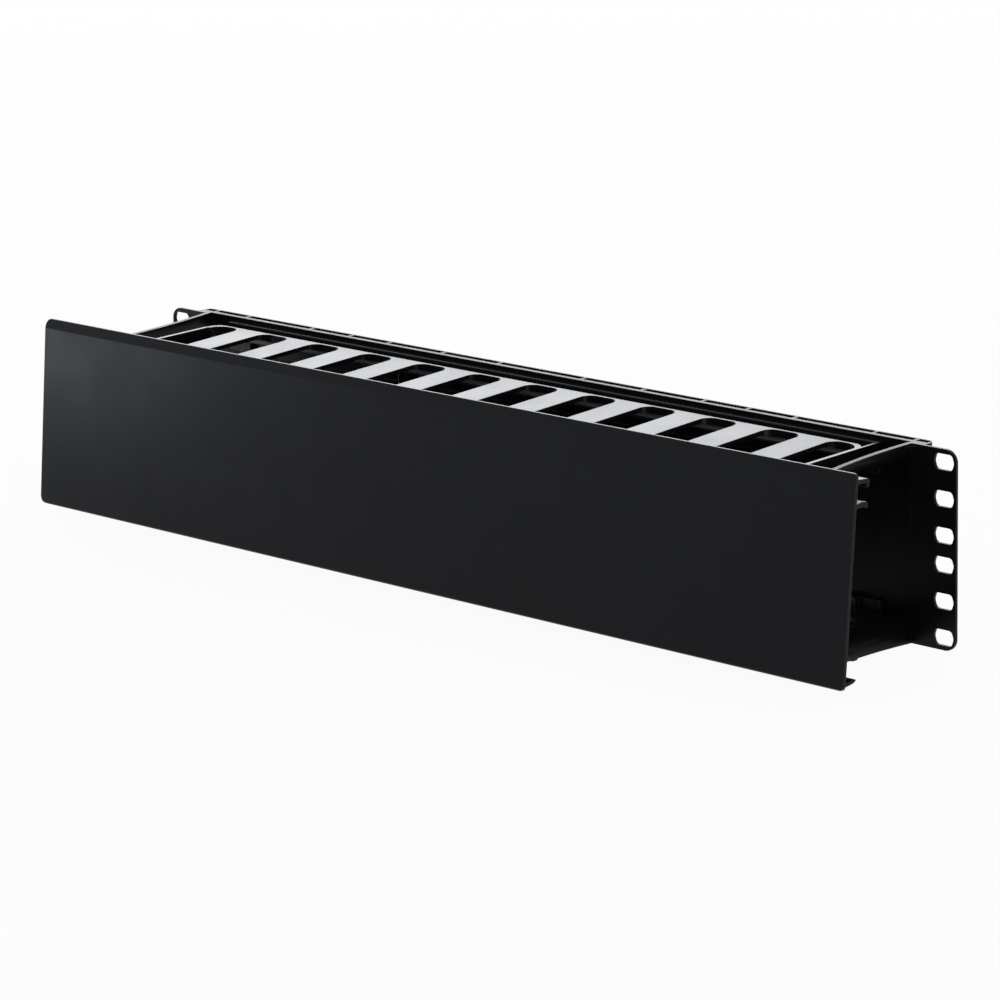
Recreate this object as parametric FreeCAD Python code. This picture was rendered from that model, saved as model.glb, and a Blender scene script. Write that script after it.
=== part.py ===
"""Horizontal cable manager for a 19-inch rack, two rack units high, front side only.

Frame of the part: X to the right along the rack, Y to the back, Z up.  The back faces
of the two rack ears, which sit on the rack rails, lie on Y = 0 and the part is centred
on X = 0, Z = 0.  All lengths in millimetres.
"""
import FreeCAD
import Part
import math
import os

from FreeCAD import Vector as V

# ---- rack ears ----
EAR_W = 477.8            # overall width over both ears
EAR_H = 87.3             # height of a two-unit panel
EAR_T = 1.4              # ear thickness, back face on Y = 0
EAR_R = 5.5              # ear corner radius
EAR_IN = 215.0           # where the ears join the guides and the box
HALF_H = EAR_H / 2
SLOT_X = 465.1 / 2       # rack hole spacing, half
SLOT_Z = (38.1, 22.225, 6.35, -6.35, -22.225, -38.1)
SLOT_L = 10.3            # slot length along X, over its round ends
SLOT_R = 3.45            # slot end radius, half its height
SLOT_FLAT = 4.75         # half length of the rounded rectangle that squares the slot out
SLOT_CORNER_R = 2.0

# ---- back panel with its ribbed rear box ----
BOX_W = 443.6            # passes the 450 mm rack opening
BOX_DEPTH = 7.4          # rear box behind the ears
PANEL_Y0, PANEL_Y1 = 0.8, 3.2    # back panel, set back from the ear fronts
WALL_T = 1.6             # side walls and ribs of the rear box
STRIP_T = 1.0            # rear tie strips
STRIP_H = 8.4
RIB_X = (25.7, 61.4, 96.5, 121.8, 148.0, 191.6, 213.4)

# ---- end guides ----
GUIDE_T = 2.4            # wall of the rolled cable guides
GUIDE_IN = 201.2         # inner edge of the guide floor
GUIDE_ZI = 34.3          # cable side of the guide floor
GUIDE_R = 8.0            # bend radius of the roll, outer side
GUIDE_Y0, GUIDE_Y1 = -62.6, 2.4   # front and back end of a guide
GUIDE_END_X = 216.2      # outer face at both ends, the wall bows inwards between them
GUIDE_MID_X = 213.9
GUIDE_FALL = 0.032       # slope of the free edge towards the front
COVE_R = 3.0             # cove between ear front and guide

# ---- finger combs ----
PITCH = 34.605           # finger pitch
FINGER_W = 15.65         # finger width
N_SIDE = 5               # fingers each side of the middle one
DROOP = 0.03             # fall of the finger tops towards the front
TOP_REF = 41.94          # finger top height carried back to Y = 0
PLATE_T, TIP_T = 2.2, 1.45
WEB_Y0, WEB_Y1 = -11.5, -9.6     # upright web behind the finger slots
ROOT_Y = -10.9           # deepest line of the finger slots
ROOT_R = 5.3             # corner radius of the slot roots
END_ROOT_R = 8.0         # the same at the comb's two ends
FLOOR_Z0, FLOOR_Z1 = 34.3, 36.5  # floor of the trough behind the web
FLANGE_Y0 = -1.6         # rear flange, lies on the back panel
LEDGE_Z = 41.4           # upper edge of the rear flange
FOOT_Z = 28.0            # lower edge of the rear flange
END_X0, END_X1 = 197.0, 199.0    # thin end ribs
END_TOP = 41.6
TROUGH_WALL = 1.2        # wall that closes the trough at its right end
END_FRONT = -66.0
CORNER_R = 7.0           # the web turns this corner into the end ribs
BEND_R = 5.0             # cable side radius between web and floor
SCREW_X = (79.0, 184.6)
SCREW_Z = 31.2
BOSS_HALF = 3.1          # square screw bosses under the trough floor
BOSS_Y = -4.4            # their front ends

# ---- cover hinge: round edge of the cover in a cradle on the finger tips ----
PIVOT_Y, PIVOT_Z = -69.2, 44.2
BEAD_R = 0.9
CRADLE_R = 0.96
TIP_Y = -71.4            # front of the finger tips
TIP_RISE = 43.9          # front lip of the cradle
BOSS_BACK = -66.3        # back of the raised tip

# ---- cover, drawn upright about the hinge line: n to the back, u up ----
TILT = 5.846             # the cover stands this far open at the foot, degrees
COVER_HALF = 245.8
SKIN_N0, SKIN_N1 = -8.62, -6.22  # front and back face of the cover panel
U_TOP, U_BOT = 5.28, -84.36
BEVEL_H, BEVEL_D = 4.8, 0.7
TOP_FLANGE = (0.88, 2.78)        # underside and top of the flange with the hinge edge
HOOK_U = -9.4            # lower end of the guide flange under the hinge
LIP_U = -80.0            # upper edge of the snap flange at the foot
CORNER_LEFT, CORNER_RIGHT = 4.0, 2.0     # corner radii of the cover face

# ---- screws ----
SHANK_R = 1.65
SCREW_HOLE_R = 1.75
HEAD_R, HEAD_H = 3.4, 2.0
SCREW_END = -3.4


def poly_face(points, plane):
    """Face from points given in a plane: 'xz' or 'yz', with arcs as (mid, end)."""
    def at(p):
        a, b = p
        return V(a, 0, b) if plane == "xz" else V(0, a, b)
    edges, here = [], at(points[0])
    for step in points[1:]:
        if isinstance(step[0], tuple):
            mid, end = at(step[0]), at(step[1])
            edges.append(Part.Arc(here, mid, end).toShape())
        else:
            end = at(step)
            edges.append(Part.makeLine(here, end))
        here = end
    return Part.Face(Part.Wire(edges))


def box(x0, x1, y0, y1, z0, z1):
    return Part.makeBox(x1 - x0, y1 - y0, z1 - z0, V(x0, y0, z0))


def mirror_x(shape):
    return shape.mirror(V(0, 0, 0), V(1, 0, 0))


def mirror_z(shape):
    return shape.mirror(V(0, 0, 0), V(0, 0, 1))


def arc_mid(cx, cy, r, deg):
    a = math.radians(deg)
    return (cx + r * math.cos(a), cy + r * math.sin(a))


def round_edges(shape, radius, pick):
    edges = [e for e in shape.Edges if pick(e)]
    return shape.makeFillet(radius, edges)


def upright(e):
    a, b = e.Vertexes[0].Point, e.Vertexes[-1].Point
    return abs(a.x - b.x) < 1e-6 and abs(a.y - b.y) < 1e-6 and abs(a.z - b.z) > 1.0


def along_y(e):
    a, b = e.Vertexes[0].Point, e.Vertexes[-1].Point
    return abs(a.x - b.x) < 1e-6 and abs(a.z - b.z) < 1e-6 and abs(a.y - b.y) > 1.0


def screw_places(sign):
    """Centres of the four screws of one comb, in X and Z."""
    return [(sx * x, sign * SCREW_Z) for x in SCREW_X for sx in (-1, 1)]


# ---------------- rack frame ----------------
def ear_slot(x, z):
    """Cutter of one rack slot: full-round ends, squared out by a rounded rectangle."""
    half = SLOT_L / 2 - SLOT_R
    y0, depth = -EAR_T - 1, EAR_T + 2
    s = box(x - SLOT_FLAT, x + SLOT_FLAT, y0, y0 + depth, z - SLOT_R, z + SLOT_R)
    s = round_edges(s, SLOT_CORNER_R, along_y)
    for dx in (-half, half):
        s = s.fuse(Part.makeCylinder(SLOT_R, depth, V(x + dx, y0, z), V(0, 1, 0)))
    return s.removeSplitter()


def ears():
    """Both ears with their corner radii and six slots each."""
    plate = box(-EAR_W / 2, EAR_W / 2, -EAR_T, 0, -HALF_H, HALF_H)
    plate = round_edges(plate, EAR_R, along_y)
    plate = plate.cut(box(-EAR_IN, EAR_IN, -EAR_T - 1, 1, -HALF_H - 1, HALF_H + 1))
    slots = [ear_slot(sx * SLOT_X, z) for sx in (-1, 1) for z in SLOT_Z]
    return plate.cut(slots)


def back_panel():
    """Panel, side walls, ribs and tie strips of the rear box."""
    hw = BOX_W / 2
    body = box(-hw, hw, -0.01, BOX_DEPTH, -HALF_H, HALF_H)
    body = round_edges(body, 4.0, lambda e: upright(e) and e.Vertexes[0].Point.y > 1)
    hollow = box(-hw + WALL_T, hw - WALL_T, PANEL_Y1, BOX_DEPTH - STRIP_T, -HALF_H - 1, HALF_H + 1)
    window = box(-hw + WALL_T, hw - WALL_T, BOX_DEPTH - STRIP_T - 1, BOX_DEPTH + 1,
                 -HALF_H + STRIP_H, HALF_H - STRIP_H)
    front = box(-EAR_IN, EAR_IN, -1, PANEL_Y0, -HALF_H - 1, HALF_H + 1)
    body = body.cut([hollow, window, front])
    ribs = [box(sx * x - WALL_T / 2, sx * x + WALL_T / 2, PANEL_Y1 - 0.2, BOX_DEPTH,
                -HALF_H, HALF_H) for x in RIB_X for sx in (-1, 1)]
    return body.fuse(ribs)


def guide_section(y):
    """J-shaped section of a guide at its narrowest place: wall, roll and floor."""
    xo, xi, r = GUIDE_MID_X, GUIDE_MID_X - GUIDE_T, GUIDE_R
    zi, zo = GUIDE_ZI, GUIDE_ZI + GUIDE_T
    c = (xo - r, zi + r)
    inner = xo - r - 2.0
    pts = [(xo, HALF_H), (xo, zi + r), (arc_mid(c[0], c[1], r, -45), (xo - r, zi)),
           (inner, zi), (inner, zo), (xo - r, zo),
           (arc_mid(c[0], c[1], r - GUIDE_T, -45), (xi, zi + r)), (xi, HALF_H), (xo, HALF_H)]
    face = poly_face(pts, "xz")
    face.translate(V(0, y, 0))
    return face


def end_guide():
    """Upper right guide: a rolled edge turned about a far upright axis, so it bows inwards."""
    mid_y, half = (GUIDE_Y0 + GUIDE_Y1) / 2, (GUIDE_Y1 - GUIDE_Y0) / 2
    sag = GUIDE_END_X - GUIDE_MID_X
    radius = (half ** 2 + sag ** 2) / (2 * sag)
    swing = math.degrees(math.asin(half / radius)) + 1.5
    axis = V(GUIDE_MID_X + radius, mid_y, 0)
    section = guide_section(mid_y)
    section.rotate(axis, V(0, 0, 1), -swing)
    roll = section.revolve(axis, V(0, 0, 1), 2 * swing)
    roll = roll.common(box(190, 230, GUIDE_Y0, GUIDE_Y1, 20, 50))
    floor = box(GUIDE_IN, GUIDE_MID_X - GUIDE_R, GUIDE_Y0, GUIDE_Y1, GUIDE_ZI, GUIDE_ZI + GUIDE_T)
    x0 = GUIDE_END_X - 0.6
    cove = box(x0 - 1.0, x0 + COVE_R, -EAR_T - COVE_R, -EAR_T + 0.2, GUIDE_ZI + GUIDE_R, HALF_H - 1.0)
    cove = cove.cut(Part.makeCylinder(COVE_R, 40, V(x0 + COVE_R, -EAR_T - COVE_R, 20)))
    top = box(190, 240, GUIDE_Y0 - 5, -EAR_T, HALF_H, HALF_H + 6)
    top.rotate(V(0, -EAR_T, HALF_H), V(1, 0, 0), math.degrees(math.atan(GUIDE_FALL)))
    return roll.fuse([floor, cove]).cut(top).removeSplitter()


def rack_frame():
    """One moulding: ears, back panel with its rear box, and the four end guides."""
    guide = end_guide()
    guides = [guide, mirror_x(guide), mirror_z(guide), mirror_x(mirror_z(guide))]
    body = ears().fuse([back_panel()] + guides)
    holes = [Part.makeCylinder(SCREW_HOLE_R, 20, V(x, -5, z), V(0, 1, 0))
             for sign in (-1, 1) for x, z in screw_places(sign)]
    return body.cut(holes).removeSplitter()


# ---------------- finger combs ----------------
def top_at(y):
    return TOP_REF + DROOP * y


def comb_profile():
    """Side outline of the comb: finger plate, web, trough floor and rear flange."""
    c = (WEB_Y0 + BEND_R, FLOOR_Z0 + BEND_R)
    tip_under = top_at(TIP_Y) - TIP_T
    pts = [(TIP_Y, top_at(TIP_Y) - 0.55), (TIP_Y + 0.7, tip_under), (TIP_Y + 6, top_at(TIP_Y + 6) - 1.7),
           (WEB_Y0 - 4.0, top_at(WEB_Y0) - PLATE_T), (WEB_Y0, top_at(WEB_Y0) - PLATE_T - 1.2),
           (WEB_Y0, c[1]), (arc_mid(c[0], c[1], BEND_R, 225), (c[0], FLOOR_Z0)),
           (FLANGE_Y0, FLOOR_Z0), (FLANGE_Y0, FOOT_Z), (PANEL_Y0, FOOT_Z), (PANEL_Y0, LEDGE_Z),
           (FLANGE_Y0 + 0.6, LEDGE_Z), (arc_mid(FLANGE_Y0 + 0.6, LEDGE_Z - 0.6, 0.6, 135),
                                        (FLANGE_Y0, LEDGE_Z - 0.6)),
           (FLANGE_Y0, FLOOR_Z1 + 2.0),
           (arc_mid(FLANGE_Y0 - 2.0, FLOOR_Z1 + 2.0, 2.0, -45), (FLANGE_Y0 - 2.0, FLOOR_Z1)),
           (WEB_Y1 + 3.0, FLOOR_Z1),
           (arc_mid(WEB_Y1 + 3.0, FLOOR_Z1 + 3.0, 3.0, 225), (WEB_Y1, FLOOR_Z1 + 3.0)),
           (WEB_Y1, top_at(WEB_Y1)), (TIP_Y, top_at(TIP_Y)), (TIP_Y, top_at(TIP_Y) - 0.55)]
    return poly_face(pts, "yz")


def finger_slot(x0, x1, r0, r1):
    """Slot between two fingers, open at the front, its root corners rounded by r0 and r1."""
    z0 = top_at(WEB_Y0) - PLATE_T - 1.3
    slot = box(x0, x1, TIP_Y - 5, ROOT_Y, z0, 50)
    for x, r in ((x0, r0), (x1, r1)):
        slot = round_edges(slot, r, lambda e: upright(e) and abs(e.Vertexes[0].Point.x - x) < 1e-6
                           and abs(e.Vertexes[0].Point.y - ROOT_Y) < 1e-6)
    return slot


def corner_ring(r_out, r_in, z0, z1):
    """Quarter of an upright tube at the comb's right rear corner."""
    c = V(END_X1 - CORNER_R, WEB_Y1 - CORNER_R, z0)
    tube = Part.makeCylinder(r_out, z1 - z0, c, V(0, 0, 1), 90)
    return tube.cut(Part.makeCylinder(r_in, z1 - z0, c)) if r_in else tube


def end_rib():
    """Right end of the comb: thin rib along the channel's mouth that turns into the web."""
    rib = box(END_X0, END_X1, END_FRONT, WEB_Y1 - CORNER_R, FLOOR_Z0, END_TOP)
    rib = round_edges(rib, 2.5, lambda e: abs(e.CenterOfMass.y - END_FRONT) < 1e-6
                      and abs(e.BoundBox.ZLength) < 1e-6)
    bend = corner_ring(CORNER_R, CORNER_R - (END_X1 - END_X0), FLOOR_Z0, END_TOP - PLATE_T / 2)
    gusset = box(END_X0, END_X1, WEB_Y1 - CORNER_R, PANEL_Y0, FLOOR_Z0, FLOOR_Z1 + 1.0)
    return rib.fuse([bend, gusset])


def corner_waste():
    """What the rounded rear corner leaves off the plate and the web."""
    y0 = WEB_Y1 - CORNER_R
    z0 = FLOOR_Z1 + 1.0
    block = box(END_X1 - CORNER_R, END_X1 + 1, y0, WEB_Y1 + 0.01, z0, 50)
    return block.cut(corner_ring(CORNER_R, 0, z0, 50))


def tip_cradle(x):
    """Raised end of one finger with the cradle that carries the cover's round edge."""
    dz = TIP_RISE - PIVOT_Z
    dy = math.sqrt(CRADLE_R ** 2 - dz ** 2)
    low = (PIVOT_Y, PIVOT_Z - CRADLE_R)
    pts = [(TIP_Y, top_at(TIP_Y) - 0.5), (TIP_Y, TIP_RISE - 0.5), (TIP_Y + 0.5, TIP_RISE),
           (PIVOT_Y - dy, TIP_RISE), (arc_mid(PIVOT_Y, PIVOT_Z, CRADLE_R, 230), low),
           (PIVOT_Y + 1.4, PIVOT_Z - 1.75), (BOSS_BACK, top_at(BOSS_BACK) - 0.5),
           (TIP_Y, top_at(TIP_Y) - 0.5)]
    face = poly_face(pts, "yz")
    face.translate(V(x - FINGER_W / 2, 0, 0))
    return face.extrude(V(FINGER_W, 0, 0))


def finger_comb():
    """Upper comb, one moulding: eleven fingers, two end ribs, trough, flange and bosses."""
    face = comb_profile()
    face.translate(V(-END_X1, 0, 0))
    body = face.extrude(V(2 * END_X1, 0, 0))
    centres = [PITCH * k for k in range(-N_SIDE, N_SIDE + 1)]
    slots = [finger_slot(c + FINGER_W / 2, c + PITCH - FINGER_W / 2, ROOT_R, ROOT_R)
             for c in centres[:-1]]
    last = finger_slot(centres[-1] + FINGER_W / 2, END_X0, ROOT_R, END_ROOT_R)
    rib = end_rib()
    waste = corner_waste()
    trim = box(END_X0, END_X1 + 1, TIP_Y - 1, WEB_Y1 - CORNER_R, FLOOR_Z1, 50)
    body = body.cut(slots + [last, mirror_x(last), waste, mirror_x(waste), trim, mirror_x(trim)])
    bosses = [box(x - BOSS_HALF, x + BOSS_HALF, BOSS_Y, PANEL_Y0, FOOT_Z, FLOOR_Z0 + 0.2)
              for x, z in screw_places(1)]
    wall = box(END_X1 - TROUGH_WALL, END_X1, WEB_Y1 - CORNER_R, PANEL_Y0, FLOOR_Z0, END_TOP)
    body = body.fuse([rib, mirror_x(rib), wall] + [tip_cradle(c) for c in centres] + bosses)
    holes = [Part.makeCylinder(SCREW_HOLE_R, 10, V(x, SCREW_END - 0.2, z), V(0, 1, 0))
             for x, z in screw_places(1)]
    return body.cut(holes).removeSplitter()


# ---------------- front cover ----------------
def cover_profile():
    """Cross-section of the cover about the hinge line, as (n, u)."""
    f, b, r = SKIN_N0, SKIN_N1, BEAD_R
    under, top = TOP_FLANGE
    pts = [(f, U_BOT + 0.8), (f, U_TOP - BEVEL_H), (f + BEVEL_D, U_TOP), (b, U_TOP), (b, top),
           (-0.35, top), (arc_mid(-0.35, top - 1.6, 1.6, 45), (1.25, top - 1.6)),
           (r * math.cos(0.35), -r * math.sin(0.35)), (arc_mid(0, 0, r, 260), (-r, 0)), (-r, under),
           (b, under)]
    pts += [(b, HOOK_U + 2.0), (-2.4, HOOK_U + 2.8), (0.2, HOOK_U + 2.65), (0.7, HOOK_U + 2.2),
            (0.9, HOOK_U), (0.1, HOOK_U + 0.1), (-2.4, HOOK_U + 0.8), (b, HOOK_U + 0.05)]
    pts += [(b, U_BOT + 14.63), (-2.4, U_BOT + 13.88), (0.1, U_BOT + 14.6), (0.9, U_BOT + 14.68),
            (0.7, U_BOT + 12.5), (0.2, U_BOT + 12.05), (-2.4, U_BOT + 11.88), (b, U_BOT + 12.68)]
    pts += [(b, LIP_U - 1.0), (-2.2, LIP_U - 0.5), (-0.6, LIP_U), (0.2, LIP_U - 0.35),
            (0.2, LIP_U - 0.8), ((-1.1, LIP_U - 1.6), (-2.6, LIP_U - 2.1)), (b, U_BOT + 1.6),
            (b, U_BOT), (f + 0.8, U_BOT), (f, U_BOT + 0.8)]
    return poly_face(pts, "yz")


def corner_cutter(side, top, r):
    """What one rounded corner of the cover face leaves off."""
    x = side * (COVER_HALF - r)
    u = U_TOP - r if top else U_BOT + r
    x1, u1 = x + side * (r + 1), (u + r + 1 if top else u - r - 1)
    block = box(min(x, x1), max(x, x1), -40, 40, min(u, u1), max(u, u1))
    return block.cut(Part.makeCylinder(r, 80, V(x, -40, u), V(0, 1, 0)))


def front_cover():
    """One extruded profile: panel with four inner flanges, its face corners rounded off."""
    face = cover_profile()
    face.translate(V(-COVER_HALF, 0, 0))
    body = face.extrude(V(2 * COVER_HALF, 0, 0))
    body = body.cut([corner_cutter(side, top, CORNER_LEFT if side < 0 else CORNER_RIGHT)
                     for side in (-1, 1) for top in (True, False)])
    body.rotate(V(0, 0, 0), V(1, 0, 0), -TILT)
    body.translate(V(0, PIVOT_Y, PIVOT_Z))
    return body


# ---------------- screws ----------------
def hexagon(x, z):
    """Outline of a screw head seen along the screw, as a face in the plane of the panel's back."""
    turns = [math.radians(60 * k) for k in range(7)]
    ring = [V(x + HEAD_R * math.cos(a), PANEL_Y1, z + HEAD_R * math.sin(a)) for a in turns]
    return Part.Face(Part.makePolygon(ring))


def comb_screws(sign):
    """Four hexagon screws, driven from the back through the panel into the bosses of one comb."""
    group = []
    for x, z in screw_places(sign):
        head = hexagon(x, z).extrude(V(0, HEAD_H, 0))
        shank = Part.makeCylinder(SHANK_R, PANEL_Y1 - SCREW_END, V(x, SCREW_END, z), V(0, 1, 0))
        group.append(head.fuse(shank).removeSplitter())
    return Part.makeCompound(group)


def save(shape, name):
    shape.exportStep("parts/%s.step" % name)
    print(name, "valid", shape.isValid(), "solids", len(shape.Solids),
          "volume cm3 %.1f" % (shape.Volume / 1000), shape.BoundBox)


os.makedirs("parts", exist_ok=True)
comb = finger_comb()
save(rack_frame(), "rack_frame")
save(comb, "upper_comb")
save(mirror_z(comb), "lower_comb")
save(front_cover(), "front_cover")
save(comb_screws(1), "upper_comb_screws")
save(comb_screws(-1), "lower_comb_screws")
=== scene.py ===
"""Looks of a horizontal cable manager for a 19-inch rack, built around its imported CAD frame."""
import math

import bpy
from mathutils import Matrix, Vector


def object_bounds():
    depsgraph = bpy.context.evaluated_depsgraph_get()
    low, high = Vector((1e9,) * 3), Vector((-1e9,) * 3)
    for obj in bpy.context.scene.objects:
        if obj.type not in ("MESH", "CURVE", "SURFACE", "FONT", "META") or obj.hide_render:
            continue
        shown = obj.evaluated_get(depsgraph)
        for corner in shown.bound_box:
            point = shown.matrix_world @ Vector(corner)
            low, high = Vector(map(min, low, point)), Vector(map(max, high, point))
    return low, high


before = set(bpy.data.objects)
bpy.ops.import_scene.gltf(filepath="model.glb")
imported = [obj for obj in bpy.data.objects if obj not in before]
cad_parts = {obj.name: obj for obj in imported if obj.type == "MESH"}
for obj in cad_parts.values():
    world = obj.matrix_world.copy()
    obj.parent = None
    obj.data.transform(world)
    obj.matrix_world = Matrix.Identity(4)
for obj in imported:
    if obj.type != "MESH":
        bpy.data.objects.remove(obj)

cad_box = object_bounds()


# ---------------------------------------------------------------------------
# Rack frame.  One injection-moulded part in black ABS: two rack ears, the back
# panel with a ribbed box behind it, and four rolled guides at the open ends.
# Screws through the slotted ears hold it to the rack rails.
# ---------------------------------------------------------------------------
PLASTIC_IOR = 1.5
DRIFT_PER_METRE = 9.0       # slow change of shade over a moulding
DRIFT_SHARE = 0.125         # how far the shade goes up and down with it
SCUFFS_PER_METRE = 55.0     # patches where hands and cables rubbed it
MOULD_EDGE = 0.0004         # round that the shading gives to each moulded edge
EDGE_COSINES = (0.97, 0.80)     # from the first to the second, a flat turns into an edge
EDGE_POLISH = -0.06         # change of roughness on a rubbed edge
GRAIN_DEPTH = 0.0002        # metres from the floor to the top of the pressed grain


def noise(nodes, links, vector, scale, detail):
    """Smooth noise between zero and one, scale lumps to the metre, at the given vector."""
    lumps = nodes.new("ShaderNodeTexNoise")
    lumps.inputs["Scale"].default_value = scale
    lumps.inputs["Detail"].default_value = detail
    links.new(vector, lumps.inputs["Vector"])
    return lumps.outputs["Fac"]


def spread(nodes, links, value, span, result):
    """Carries a value from the span (low, high) to the result (low, high) on a straight line,
    held at both ends."""
    line = nodes.new("ShaderNodeMapRange")
    line.inputs["From Min"].default_value, line.inputs["From Max"].default_value = span
    line.inputs["To Min"].default_value, line.inputs["To Max"].default_value = result
    links.new(value, line.inputs["Value"])
    return line.outputs["Result"]


def blend_colour(nodes, links, share, first, second):
    """First times one minus the share plus second times the share; each is a colour or a socket."""
    mix = nodes.new("ShaderNodeMix")
    mix.data_type = "RGBA"
    links.new(share, mix.inputs["Factor"])
    for colour, place in ((first, mix.inputs["A"]), (second, mix.inputs["B"])):
        if isinstance(colour, tuple):
            place.default_value = (*colour, 1)
        else:
            links.new(colour, place)
    return mix.outputs["Result"]


def edge_share(nodes, links, rounded):
    """How near a point is to an edge, zero on a flat and one on the edge: one minus the cosine
    between the true normal and the rounded one, stretched over the edge cosines."""
    true = nodes.new("ShaderNodeNewGeometry")
    cosine = nodes.new("ShaderNodeVectorMath")
    cosine.operation = "DOT_PRODUCT"
    links.new(rounded, cosine.inputs[0])
    links.new(true.outputs["Normal"], cosine.inputs[1])
    return spread(nodes, links, cosine.outputs["Value"], EDGE_COSINES, (0.0, 1.0))


def black_finish(name, shade, roughness, gloss, grain, grain_size, drawn=(1, 1, 1), edge_wear_and_highlight=5.0):
    """Black plastic or coating.  Shade is its colour and drifts by the drift share over slow
    noise.  The edges are lightened to a multiple of the shade, partly edge wear and partly a
    painted highlight for light caught on rounded edges.  Roughness rises in scuffed patches
    and falls on the edges, and a grain of grain_size metres, drawn out along an axis, is
    pressed in."""
    mat = bpy.data.materials.new(name)
    mat.use_nodes = True
    nodes, links = mat.node_tree.nodes, mat.node_tree.links
    shader = nodes["Principled BSDF"]
    shader.inputs["IOR"].default_value = PLASTIC_IOR
    shader.inputs["Specular IOR Level"].default_value = gloss
    place = nodes.new("ShaderNodeTexCoord").outputs["Object"]

    drift = spread(nodes, links, noise(nodes, links, place, DRIFT_PER_METRE, 3), (0.3, 0.7), (0, 1))
    dark = tuple(c * (1 - DRIFT_SHARE) for c in shade)
    light = tuple(c * (1 + DRIFT_SHARE) for c in shade)
    body = blend_colour(nodes, links, drift, dark, light)
    soft_edge = nodes.new("ShaderNodeBevel")
    soft_edge.samples = 6
    soft_edge.inputs["Radius"].default_value = MOULD_EDGE
    edge = edge_share(nodes, links, soft_edge.outputs["Normal"])
    # painted highlight: the edges are lightened over the shade, partly edge wear and partly
    # standing in for light caught on rounded edges
    rubbed_and_highlit = tuple(c * edge_wear_and_highlight for c in shade)
    links.new(blend_colour(nodes, links, edge, body, rubbed_and_highlit), shader.inputs["Base Color"])

    patches = noise(nodes, links, place, SCUFFS_PER_METRE, 4)
    scuffed = spread(nodes, links, patches, (0.35, 0.75), (roughness - 0.02, roughness + 0.04))
    polish = nodes.new("ShaderNodeMath")
    polish.operation = "MULTIPLY_ADD"
    polish.inputs[1].default_value = EDGE_POLISH
    links.new(edge, polish.inputs[0])
    links.new(scuffed, polish.inputs[2])
    links.new(polish.outputs[0], shader.inputs["Roughness"])

    stretch = nodes.new("ShaderNodeMapping")
    stretch.inputs["Scale"].default_value = drawn
    links.new(place, stretch.inputs["Vector"])
    bump = nodes.new("ShaderNodeBump")
    bump.inputs["Strength"].default_value = grain
    bump.inputs["Distance"].default_value = GRAIN_DEPTH
    pressed = noise(nodes, links, stretch.outputs["Vector"], 1 / grain_size, 2)
    links.new(pressed, bump.inputs["Height"])
    links.new(soft_edge.outputs["Normal"], bump.inputs["Normal"])
    links.new(bump.outputs["Normal"], shader.inputs["Normal"])
    return mat


def dress(node, material):
    """Gives one CAD node its material in every slot it has."""
    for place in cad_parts[node].material_slots:
        place.material = material


frame_black = black_finish("frame black", shade=(0.0040, 0.0040, 0.0043), roughness=0.32,
                           gloss=0.10, grain=0.10, grain_size=0.0009)
dress("rack_frame", frame_black)

# ---------------------------------------------------------------------------
# Finger combs.  Two equal ABS mouldings with eleven fingers each, the lower one
# turned over.  Their rear flanges lie on the back panel and are screwed to it.
# ---------------------------------------------------------------------------
comb_black = black_finish("comb black", shade=(0.0050, 0.0050, 0.0056), roughness=0.26,
                          gloss=0.22, grain=0.03, grain_size=0.0008)
dress("upper_comb", comb_black)
dress("lower_comb", comb_black)

# ---------------------------------------------------------------------------
# Front cover.  One length of extruded black plastic with faint draw lines along
# it.  Its upper flange turns on the upper finger tips, its lower one snaps
# behind the lower fingers.
# ---------------------------------------------------------------------------
COVER_EDGE = 0.00025        # radius of its broken edges
EDGE_ANGLE = math.radians(35)       # an edge that turns more than this is broken
CREASE_ANGLE = math.radians(5)      # and one that turns more than this stays a crease
SAME_POINT = 0.00002        # corners nearer than this are one

cover_black = black_finish("cover black", shade=(0.0046, 0.0053, 0.0068), roughness=0.26,
                           gloss=0.10, grain=0.05, grain_size=0.0010, drawn=(0.03, 1, 1))
dress("front_cover", cover_black)


def break_edges(node, radius):
    """Turns every edge of a CAD node that is sharper than the edge angle over a round of the given
    radius in metres: corners are joined first, and the edge turns in three steps.  Creases over
    the crease angle are then parted, so that each flat face is shaded flat up to them."""
    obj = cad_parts[node]
    joined = obj.modifiers.new("joined corners", "WELD")
    joined.merge_threshold = SAME_POINT
    broken = obj.modifiers.new("broken edges", "BEVEL")
    broken.width = radius
    broken.segments = 3
    broken.limit_method = "ANGLE"
    broken.angle_limit = EDGE_ANGLE
    broken.use_clamp_overlap = False
    creases = obj.modifiers.new("creases", "EDGE_SPLIT")
    creases.use_edge_sharp = False
    creases.split_angle = CREASE_ANGLE


break_edges("front_cover", COVER_EDGE)

# ---------------------------------------------------------------------------
# Comb screws.  Black coated steel with hexagon heads, driven from behind the
# back panel into the square bosses of the combs.
# ---------------------------------------------------------------------------
SCREW_EDGE = 0.0002         # radius of their broken edges

screw_black = black_finish("screw black", shade=(0.012, 0.012, 0.013), roughness=0.38,
                           gloss=0.50, grain=0.04, grain_size=0.0006, edge_wear_and_highlight=4.0)
for screws in ("upper_comb_screws", "lower_comb_screws"):
    dress(screws, screw_black)
    break_edges(screws, SCREW_EDGE)

# ---------------------------------------------------------------------------
# Studio.  A white floor that keeps the shadow, a white surround and three soft
# lamps: a broad one behind the part, one above it and a small one at the left.
# ---------------------------------------------------------------------------
FLOOR_HALF = 6.0
SURROUND_LIGHT = 0.6        # how strongly the surround lights the part
SURROUND_SHOWN = 1.0        # how bright it looks, which is plain white
floor_z = cad_box[0][2]
corners = [(x * FLOOR_HALF, y * FLOOR_HALF, floor_z)
           for x, y in ((-1, -1), (1, -1), (1, 1), (-1, 1))]
mesh = bpy.data.meshes.new("floor")
mesh.from_pydata(corners, [], [(0, 1, 2, 3)])
floor = bpy.data.objects.new("floor", mesh)
bpy.context.collection.objects.link(floor)


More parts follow.
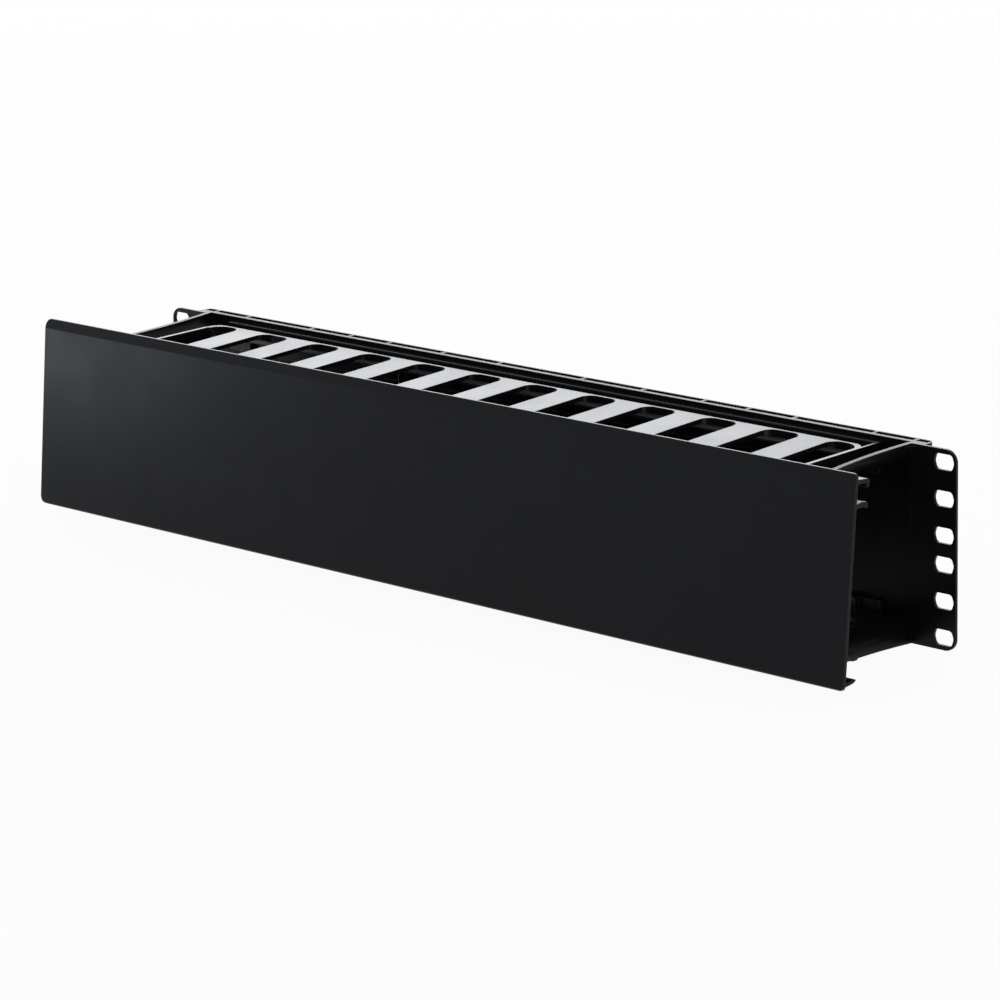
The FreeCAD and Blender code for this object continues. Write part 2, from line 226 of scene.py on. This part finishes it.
def seen_rays(nodes, links):
    """One where a ray comes straight from the camera, off a gloss or through glass, else zero."""
    path = nodes.new("ShaderNodeLightPath")
    seen = path.outputs["Is Camera Ray"]
    for kind in ("Is Glossy Ray", "Is Transmission Ray"):
        either = nodes.new("ShaderNodeMath")
        either.operation = "MAXIMUM"
        links.new(seen, either.inputs[0])
        links.new(path.outputs[kind], either.inputs[1])
        seen = either.outputs[0]
    return seen


def shown_white(name, grey, share):
    """Floor finish: matt grey that lights the part, and where it is looked at or mirrored, a
    share of plain white over it, so that only a soft shadow is left."""
    mat = bpy.data.materials.new(name)
    mat.use_nodes = True
    nodes, links = mat.node_tree.nodes, mat.node_tree.links
    nodes.clear()
    matt = nodes.new("ShaderNodeBsdfDiffuse")
    matt.inputs["Color"].default_value = (grey, grey, grey, 1)
    glow = nodes.new("ShaderNodeEmission")
    mix = nodes.new("ShaderNodeMixShader")
    links.new(spread(nodes, links, seen_rays(nodes, links), (0, 1), (0, share)), mix.inputs["Fac"])
    links.new(matt.outputs[0], mix.inputs[1])
    links.new(glow.outputs[0], mix.inputs[2])
    out = nodes.new("ShaderNodeOutputMaterial")
    links.new(mix.outputs[0], out.inputs["Surface"])
    return mat


floor.data.materials.append(shown_white("floor white", grey=0.8, share=0.94))

world = bpy.data.worlds.new("studio")
bpy.context.scene.world = world
world.use_nodes = True
nodes, links = world.node_tree.nodes, world.node_tree.links
surround = nodes["Background"]
surround.inputs["Color"].default_value = (1, 1, 1, 1)
strength = spread(nodes, links, seen_rays(nodes, links), (0, 1), (SURROUND_LIGHT, SURROUND_SHOWN))
links.new(strength, surround.inputs["Strength"])


def soft_box(name, at, size, watts, tint=(1, 1, 1)):
    """A rectangular lamp that stands at one place and faces the origin, the middle of the part."""
    lamp = bpy.data.lights.new(name, "AREA")
    lamp.shape = "RECTANGLE"
    lamp.size, lamp.size_y = size
    lamp.energy = watts
    lamp.color = tint
    obj = bpy.data.objects.new(name, lamp)
    turn = (-Vector(at)).to_track_quat("-Z", "Y").to_matrix().to_4x4()
    obj.matrix_world = Matrix.Translation(at) @ turn
    obj.visible_camera = False
    bpy.context.collection.objects.link(obj)


soft_box("back light", at=(-2.4, 2.7, 1.5), size=(4.4, 2.7), watts=104, tint=(0.92, 0.95, 1.0))
soft_box("top light", at=(0.3, -0.3, 1.8), size=(2.0, 2.0), watts=4)
soft_box("left light", at=(-0.72, -0.46, -0.003), size=(0.22, 0.08), watts=0.35,
         tint=(0.88, 0.93, 1.0))

# ---------------------------------------------------------------------------
# Camera.  It stands 1.9 m off, 43 degrees round to the right of the front and
# 15 degrees up, with the small roll and shift that frame the part.
# ---------------------------------------------------------------------------
YAW, PITCH, ROLL = math.radians(43.1507), math.radians(14.734), math.radians(-1.3681)
MIDDLE = Vector((0, -0.0014, 0))        # point of the part that the view is measured from
DISTANCE = 1.92713          # along the view, from the lens to that point
ASIDE, BELOW = 0.0087534, -0.0167806    # where that point lies beside the line of view
SENSOR = 36.0               # width in millimetres
FOCAL = 4.23863             # focal length in widths of the sensor

ahead = Vector((-math.sin(YAW) * math.cos(PITCH),
                math.cos(YAW) * math.cos(PITCH),
                -math.sin(PITCH)))
level = Vector((math.cos(YAW), math.sin(YAW), 0))
down = ahead.cross(level)
right = level * math.cos(ROLL) - down * math.sin(ROLL)
under = level * math.sin(ROLL) + down * math.cos(ROLL)
lens_at = MIDDLE - (right * ASIDE + under * BELOW + ahead * DISTANCE)
eye = bpy.data.cameras.new("camera")
eye.sensor_width = SENSOR
eye.lens = FOCAL * SENSOR
eye.shift_x, eye.shift_y = -0.015, 0.0035
eye.clip_end = 50
camera = bpy.data.objects.new("camera", eye)
turned = Matrix((right, -under, -ahead)).transposed().to_4x4()
camera.matrix_world = Matrix.Translation(lens_at) @ turned
bpy.context.collection.objects.link(camera)
bpy.context.scene.camera = camera
bpy.context.scene.view_settings.view_transform = "Standard"
